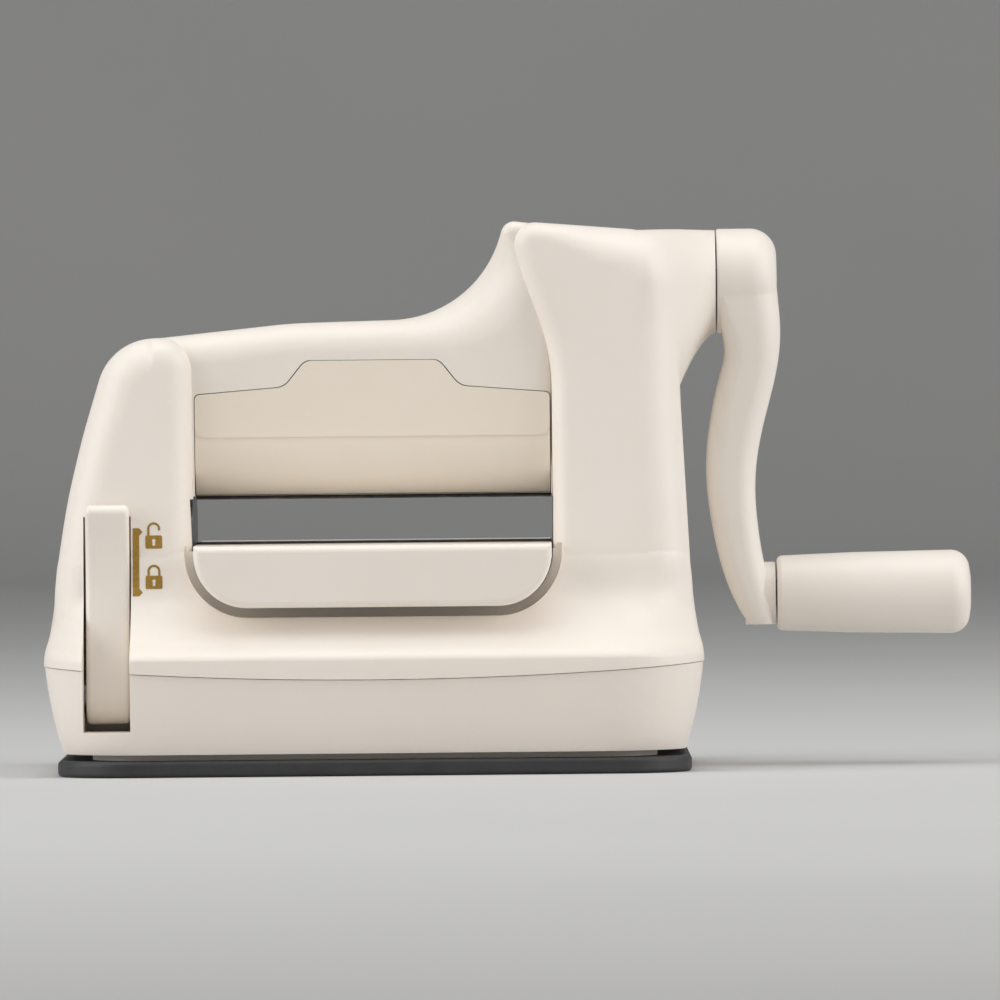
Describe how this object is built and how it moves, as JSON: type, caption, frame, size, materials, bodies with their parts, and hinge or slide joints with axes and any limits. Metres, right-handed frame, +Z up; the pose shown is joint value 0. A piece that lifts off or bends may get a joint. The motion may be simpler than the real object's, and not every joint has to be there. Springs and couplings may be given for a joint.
{
  "type": "die cutting machine",
  "caption": "Small hand-cranked die cutting machine with paired rollers, a feed slot with fold-out lips, a geared crank and a lever-locked suction base.",
  "frame": {"origin": "centre of the suction pad's underside, on the table", "axes": "+Z up, -Y towards the front feed lip, +X towards the crank"},
  "size_m": [0.209, 0.104, 0.1234],
  "materials": {
    "ivory_plastic": "satin moulded ivory plastic",
    "steel": "plated sheet and bar steel",
    "plated_fasteners": "bright zinc plate",
    "bush_bronze": "sintered bronze",
    "roller_steel": "dark oxide, turned",
    "gear_steel": "sintered steel, oiled",
    "pad_rubber": "smooth dark grey rubber"
  },
  "bodies": {
    "housing": {"base_tub": "ivory_plastic", "bottom_plate": "ivory_plastic", "crank_inner_bush": "bush_bronze", "crank_outer_bush": "bush_bronze", "floor_screws": "plated_fasteners", "front_guard": "ivory_plastic", "front_low_tie_rod": "steel", "front_shell": "ivory_plastic", "front_table": "ivory_plastic", "front_top_tie_rod": "steel", "gear_plate": "steel", "gear_plate_screws": "plated_fasteners", "gear_plate_spacers": "steel", "idler_axle": "steel", "idler_spacer": "steel", "left_frame_screws": "plated_fasteners", "left_side_plate": "steel", "lever_bracket": "steel", "lift_bar_bracket": "steel", "lift_bar_pin": "steel", "lower_left_bush": "bush_bronze", "lower_right_bush": "bush_bronze", "rear_guard": "ivory_plastic", "rear_low_tie_rod": "steel", "rear_shell": "ivory_plastic", "rear_table": "ivory_plastic", "rear_top_tie_rod": "steel", "right_frame_screws": "plated_fasteners", "right_side_plate": "steel", "shell_screws": "plated_fasteners", "suction_pad": "pad_rubber", "upper_left_bush": "bush_bronze", "upper_right_bush": "bush_bronze"},
    "crank": {"crank_shaft": "steel", "crank_gear": "gear_steel", "crank_clip": "plated_fasteners", "crank_arm": "ivory_plastic", "crank_washer": "plated_fasteners", "crank_screw": "plated_fasteners", "grip_pin": "steel"},
    "grip": {"grip": "ivory_plastic"},
    "idler": {"idler_gear": "gear_steel"},
    "upper_roller": {"upper_roller": "roller_steel", "upper_roller_gear": "gear_steel"},
    "lower_roller": {"lower_roller": "roller_steel", "lower_roller_gear": "gear_steel"},
    "lever": {"lever": "ivory_plastic", "lever_shaft": "steel"},
    "lift_bar": {"lift_bar": "steel"},
    "stem": {"suction_stem": "steel", "stem_pin": "steel"}
  },
  "joints": [
    {"name": "crank_turn", "type": "hinge", "parent": "housing", "child": "crank", "pos_m": [0, 0, 0.10975], "axis": [1, 0, 0], "continuous": true},
    {"name": "grip_spin", "type": "hinge", "parent": "crank", "child": "grip", "pos_m": [0, 0, 0.0389], "axis": [1, 0, 0], "continuous": true},
    {"name": "idler_turn", "type": "hinge", "parent": "housing", "child": "idler", "pos_m": [0, 0, 0.0955], "axis": [1, 0, 0], "continuous": true},
    {"name": "upper_roller_turn", "type": "hinge", "parent": "housing", "child": "upper_roller", "pos_m": [0, 0, 0.07225], "axis": [1, 0, 0], "continuous": true},
    {"name": "lower_roller_turn", "type": "hinge", "parent": "housing", "child": "lower_roller", "pos_m": [0, 0, 0.04075], "axis": [1, 0, 0], "continuous": true},
    {"name": "lever_swing", "type": "hinge", "parent": "housing", "child": "lever", "pos_m": [-0.06, -0.033, 0.018], "axis": [1, 0, 0], "range_deg": [0, 80]},
    {"name": "lift_bar_tilt", "type": "hinge", "parent": "housing", "child": "lift_bar", "pos_m": [0, 0.036, 0.01421], "axis": [1, 0, 0], "range_deg": [-6.8, 0]},
    {"name": "stem_lift", "type": "slide", "parent": "housing", "child": "stem", "axis": [0, 0, 1], "range_m": [0, 0.0043], "deforming": ["suction_pad"]}
  ],
  "couplings": [
    {"joint": "idler_turn", "follows": "crank_turn", "ratio": -0.9},
    {"joint": "upper_roller_turn", "follows": "crank_turn", "ratio": 0.42857},
    {"joint": "lower_roller_turn", "follows": "crank_turn", "ratio": -0.42857},
    {"joint": "lift_bar_tilt", "follows": "lever_swing", "ratio": -0.0842},
    {"joint": "stem_lift", "follows": "lever_swing", "m_per_rad": 0.0030453}
  ]
}
